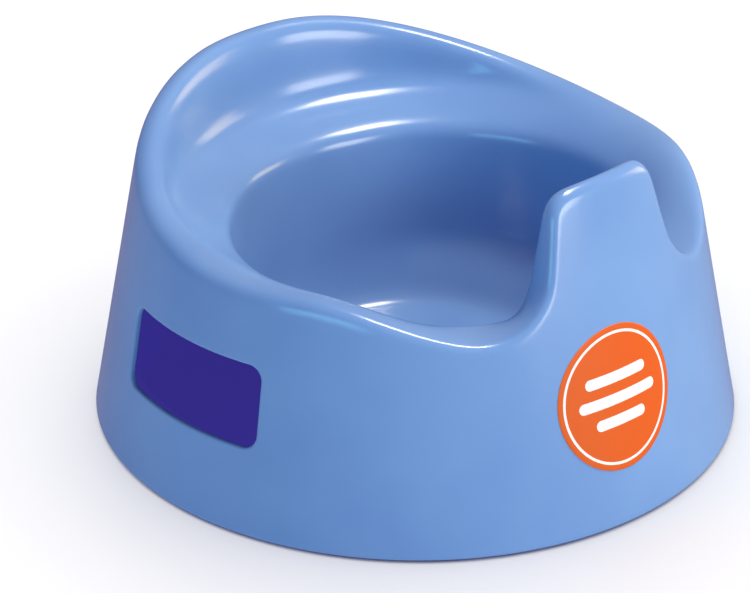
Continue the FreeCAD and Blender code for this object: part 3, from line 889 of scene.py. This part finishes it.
def soft_grey_rubber():
    """Matt grip rubber with fine grain and faint blotches."""
    material, wire, shader = new_material("soft grey rubber")
    place = wire.place()
    grain = wire.noise(place, 0.45, 4.0, 0.6)
    blotch = wire.noise(place, 4.0, 2.0)
    wire.link(wire.blend(blotch, RUBBER_GREY, RUBBER_GREY_PALE), shader.inputs["Base Color"])
    wire.link(wire.remap(grain, 0.3, 0.7, 0.55, 0.72), shader.inputs["Roughness"])
    wire.link(wire.bump(grain, 0.02), shader.inputs["Normal"])
    return material


def pale_floor():
    material, _, shader = new_material("pale floor")
    shader.inputs["Base Color"].default_value = FLOOR_COLOUR
    shader.inputs["Roughness"].default_value = 0.6
    shader.inputs["Specular IOR Level"].default_value = 0.2
    return material


# ================================================================ stage, light and camera
# The camera, the lamps and the floor are in metres; the dish is in millimetres like the potty.

CAMERA_TURN = -43.6             # degrees round the potty, from its front towards +X
CAMERA_PLACE, CAMERA_TARGET = (-0.7333, -0.7429, 0.5938), (0.0002, 0.0274, 0.0382)
CAMERA_LENS, CAMERA_SENSOR = 122.0, 36.0

FLOOR_HALF, FLOOR_BACK, FLOOR_RISE, FLOOR_BEND = 4.0, 4.0, 4.0, 1.5
FLOOR_BEND_STEPS = 24
FLOOR_COLOUR = (0.87, 0.89, 0.83, 1.0)
# The dish is painted shade: its indigo colour and faint painted glow stand in for the shade of the hollow.
DISH_COLOUR = (0.10, 0.07, 0.34, 1.0)
DISH_GLOW, DISH_GLOW_STRENGTH = (0.16, 0.115, 1.0, 1.0), 0.19

POTTY_MIDDLE, FLOOR_MIDDLE = (0.0, 0.0, 0.07), (0.0, 0.0, 0.0)
# Name, place, width, height, watts and colour.
POTTY_LAMPS = (("key", (0.58, -0.41, 1.81), 0.55, 0.55, 34.0, (1.0, 0.91, 0.80)),
               ("front_fill", (0.45, -1.95, 0.38), 1.0, 0.6, 19.0, (1.0, 0.96, 0.88)),
               ("right_fill", (1.9, -0.8, 0.45), 0.8, 0.8, 12.0, (1.0, 0.76, 0.40)),
               ("left_fill", (-1.8, -0.6, 0.40), 1.2, 0.5, 9.0, (0.26, 0.78, 1.0)))
FLOOR_LAMPS = (("floor_wash", (0.0, 0.0, 2.2), 6.0, 6.0, 146.0, (1.0, 1.0, 1.0)),
               ("floor_back", (1.7, 1.8, 2.0), 2.5, 2.5, 12.0, (1.0, 1.0, 1.0)))
ROOM_COLOUR, ROOM_STRENGTH = (0.80, 0.66, 1.0, 1.0), 0.34


def lay_floor():
    """A wide pale sweep that turns up behind the potty; the plastic's gloss doesn't show it."""
    flat_end = FLOOR_BACK - FLOOR_BEND
    profile = [(-FLOOR_HALF, 0.0), (0.0, 0.0), (flat_end, 0.0)]
    profile += [(flat_end + FLOOR_BEND * sin(t), FLOOR_BEND * (1 - cos(t)))
                for t in np.linspace(0.0, pi / 2.0, FLOOR_BEND_STEPS + 1)[1:]]
    profile += [(FLOOR_BACK, FLOOR_RISE)]
    across = (-FLOOR_HALF, 0.0, FLOOR_HALF)
    mesh = bpy.data.meshes.new("floor")
    points = [(x, y, z) for y, z in profile for x in across]
    corners = [len(across) * k + i for k in range(len(profile) - 1) for i in range(len(across) - 1)]
    faces = [(a, a + 1, a + 1 + len(across), a + len(across)) for a in corners]
    mesh.from_pydata(points, [], faces)
    mesh.polygons.foreach_set("use_smooth", [True] * len(faces))
    mesh.materials.append(pale_floor())
    floor = bpy.data.objects.new("floor", mesh)
    bpy.context.collection.objects.link(floor)
    floor.rotation_euler = (0.0, 0.0, radians(CAMERA_TURN))
    floor.visible_glossy = False
    return floor


def lay_shade():
    """A faintly glowing indigo dish on the floor inside the skirt, seen through the windows.

    It stands in for the even indigo shade of the hollow and isn't part of the potty.
    """
    # Painted shade with a faint painted glow, standing in for the shade inside the hollow.
    material, _, shader = new_material("painted shade in the hollow")
    shader.inputs["Base Color"].default_value = DISH_COLOUR
    shader.inputs["Roughness"].default_value = 0.8
    shader.inputs["Emission Color"].default_value = DISH_GLOW
    shader.inputs["Emission Strength"].default_value = DISH_GLOW_STRENGTH
    build = Build()
    lathe(build, [(BASE_RADIUS - inset, height) for inset, height in DISH_RIM] + [(0.0, DISH_LOW)],
          (0.0, 0.0), DISH_SIDES)
    return build.finish("painted_shade_dish", [material])


def aim(thing, target):
    thing.rotation_euler = (Vector(target) - thing.location).to_track_quat("-Z", "Y").to_euler()


def soft_light(pieces, target, name, place, width, height, power, colour):
    """A lamp that reaches these pieces and nothing else; everything still blocks it."""
    light = bpy.data.lights.new(name, "AREA")
    light.shape = "RECTANGLE"
    light.size, light.size_y = width, height
    light.energy = power
    light.color = colour
    lamp = bpy.data.objects.new(name, light)
    bpy.context.collection.objects.link(lamp)
    lamp.location = place
    aim(lamp, target)
    chosen = bpy.data.collections.new(name + "_reaches")
    for piece in pieces:
        chosen.objects.link(piece)
    lamp.light_linking.receiver_collection = chosen


def light_stage(potty, floor):
    for lamp in POTTY_LAMPS:
        soft_light(potty, POTTY_MIDDLE, *lamp)
    for lamp in FLOOR_LAMPS:
        soft_light([floor], FLOOR_MIDDLE, *lamp)
    world = bpy.data.worlds.new("studio")
    world.use_nodes = True
    shade = world.node_tree.nodes["Background"]
    shade.inputs["Color"].default_value = ROOM_COLOUR
    shade.inputs["Strength"].default_value = ROOM_STRENGTH
    bpy.context.scene.world = world


def place_camera():
    data = bpy.data.cameras.new("camera")
    data.sensor_width = CAMERA_SENSOR
    data.lens = CAMERA_LENS
    camera = bpy.data.objects.new("camera", data)
    bpy.context.collection.objects.link(camera)
    camera.location = CAMERA_PLACE
    aim(camera, CAMERA_TARGET)
    bpy.context.scene.camera = camera


# ================================================================ put together

def stand_for(piece, node):
    """This finished piece is shown in place of the CAD node and moves with the body."""
    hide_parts(node)
    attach(piece, "root")


def main():
    shell = mould_shell(glossy_blue_plastic())
    stand_for(shell, "potty_shell")
    label = cut_sticker(printed_film(), sticker_paper())
    stand_for(label, "front_label")
    potty = [shell, label]
    rubber = soft_grey_rubber()
    for place, turn in FOOT_ANGLES.items():
        foot = press_foot("soft_foot_" + place, turn, rubber)
        stand_for(foot, "foot_" + place)
        potty.append(foot)
    floor = lay_floor()
    shade = lay_shade()
    light_stage(potty, floor)
    place_camera()
    view = bpy.context.scene.view_settings
    view.view_transform = "Standard"
    view.look = "None"


main()
